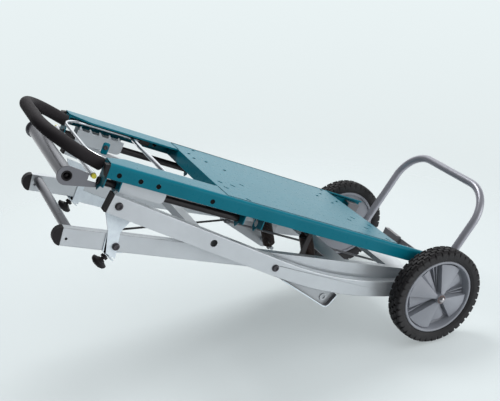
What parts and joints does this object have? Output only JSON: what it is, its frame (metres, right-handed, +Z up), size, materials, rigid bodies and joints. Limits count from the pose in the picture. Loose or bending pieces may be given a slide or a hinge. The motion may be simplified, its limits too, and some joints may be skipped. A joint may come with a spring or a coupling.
{
  "type": "table saw stand",
  "caption": "Folding scissor-leg stand for a bench saw, folded flat, with a flat plate between rails, a grip at one end, and wheels and a tube loop at the other.",
  "frame": {"origin": "middle of the plate's top face, where a saw stands", "axes": "+X along the rails towards the wheels, +Z up out of the plate, -Y towards the near side of the picture"},
  "size_m": [1.4066, 0.633, 0.523],
  "materials": {
    "black_foam": "matte foam",
    "black_rubber": "matte",
    "black_steel": "black oxide",
    "bright_rod": "bright plated",
    "dark_paint": "satin paint",
    "grey_paint": "satin paint",
    "hub_plastic": "moulded",
    "loop_metal": "satin metallic",
    "plated_bolt": "dark plated",
    "spring_steel": "dark brown finish",
    "teal_paint": "semi-gloss paint",
    "tyre_rubber": "matte",
    "yellow_plastic": "moulded",
    "zinc_plate": "zinc plated"
  },
  "bodies": {
    "table": {"table_plate": "teal_paint", "handle_tube": "loop_metal", "handle_foam": "black_foam", "rear_frame": "grey_paint", "tie_tube": "bright_rod", "end_plate": "dark_paint", "latch_block": "black_steel", "rail_near": "teal_paint", "rail_far": "teal_paint", "rail_cap_near": "black_rubber", "rail_cap_far": "black_rubber", "guide_tube_near": "black_steel", "guide_tube_far": "black_steel", "guide_bracket_left_near": "teal_paint", "guide_bracket_left_far": "teal_paint", "guide_bracket_right_near": "teal_paint", "guide_bracket_right_far": "teal_paint", "rear_plug_near": "black_rubber", "rear_plug_far": "black_rubber", "tie_plug_near": "yellow_plastic", "tie_plug_far": "yellow_plastic", "hinge_lug_near": "dark_paint", "hinge_lug_far": "dark_paint", "latch_guide_near": "black_steel", "latch_guide_far": "black_steel"},
    "bail": {"release_bail": "bright_rod"},
    "leg_b": {"foot_tube": "grey_paint", "cross_channel": "grey_paint", "cross_member": "grey_paint", "link_rod": "black_steel", "leg_b_near": "grey_paint", "leg_b_far": "grey_paint", "foot_cap_near": "black_rubber", "foot_cap_far": "black_rubber", "foot_bracket_near": "zinc_plate", "foot_bracket_far": "zinc_plate", "pivot_bolt_near": "plated_bolt", "pivot_bolt_far": "plated_bolt"},
    "leg_a": {"cross_bar": "grey_paint", "axle": "bright_rod", "loop_tube": "loop_metal", "pull_rod": "dark_paint", "leg_a_near": "grey_paint", "leg_a_far": "grey_paint", "leg_a_cap_near": "black_rubber", "leg_a_cap_far": "black_rubber", "gusset_near": "grey_paint", "gusset_far": "grey_paint", "top_bolt_near": "plated_bolt", "top_bolt_far": "plated_bolt", "spring_near": "spring_steel", "spring_far": "spring_steel"},
    "carriage_near": {"carriage_near": "grey_paint"},
    "carriage_far": {"carriage_far": "grey_paint"},
    "wheel_near": {"tyre_near": "tyre_rubber", "hub_near": "hub_plastic"},
    "wheel_far": {"tyre_far": "tyre_rubber", "hub_far": "hub_plastic"},
    "foot_near": {"levelling_foot_near": "black_rubber"},
    "foot_far": {"levelling_foot_far": "black_rubber"}
  },
  "joints": [
    {"name": "fold", "type": "hinge", "parent": "table", "child": "leg_b", "pos_m": [0.416, 0, -0.098], "axis": [0, -1, 0], "range_deg": [0, 26.4]},
    {"name": "scissor", "type": "hinge", "parent": "leg_b", "child": "leg_a", "pos_m": [-0.079, 0, -0.157], "axis": [0, -1, 0], "range_deg": [-52.8, 0]},
    {"name": "carriage_turn_near", "type": "hinge", "parent": "leg_a", "child": "carriage_near", "pos_m": [-0.574, -0.2, -0.098], "axis": [0, -1, 0], "range_deg": [0, 26.4]},
    {"name": "carriage_turn_far", "type": "hinge", "parent": "leg_a", "child": "carriage_far", "pos_m": [-0.574, 0.2, -0.098], "axis": [0, -1, 0], "range_deg": [0, 26.4]},
    {"name": "wheel_spin_near", "type": "hinge", "parent": "leg_a", "child": "wheel_near", "pos_m": [0.4546, -0.2825, -0.1036], "axis": [0, 1, 0], "continuous": true},
    {"name": "wheel_spin_far", "type": "hinge", "parent": "leg_a", "child": "wheel_far", "pos_m": [0.4546, 0.2825, -0.1036], "axis": [0, 1, 0], "continuous": true},
    {"name": "bail_pull", "type": "slide", "parent": "table", "child": "bail", "axis": [-1, 0, 0], "range_m": [0, 0.018], "stiffness_N_per_m": 150},
    {"name": "foot_screw_near", "type": "slide", "parent": "leg_b", "child": "foot_near", "axis": [-0.4695, 0, -0.8829], "range_m": [0, 0.012]},
    {"name": "foot_screw_far", "type": "slide", "parent": "leg_b", "child": "foot_far", "axis": [-0.4695, 0, -0.8829], "range_m": [0, 0.012]}
  ],
  "couplings": [
    {"joint": "scissor", "follows": "fold", "ratio": -2},
    {"joint": "carriage_turn_near", "follows": "fold", "ratio": 1},
    {"joint": "carriage_turn_far", "follows": "fold", "ratio": 1}
  ]
}
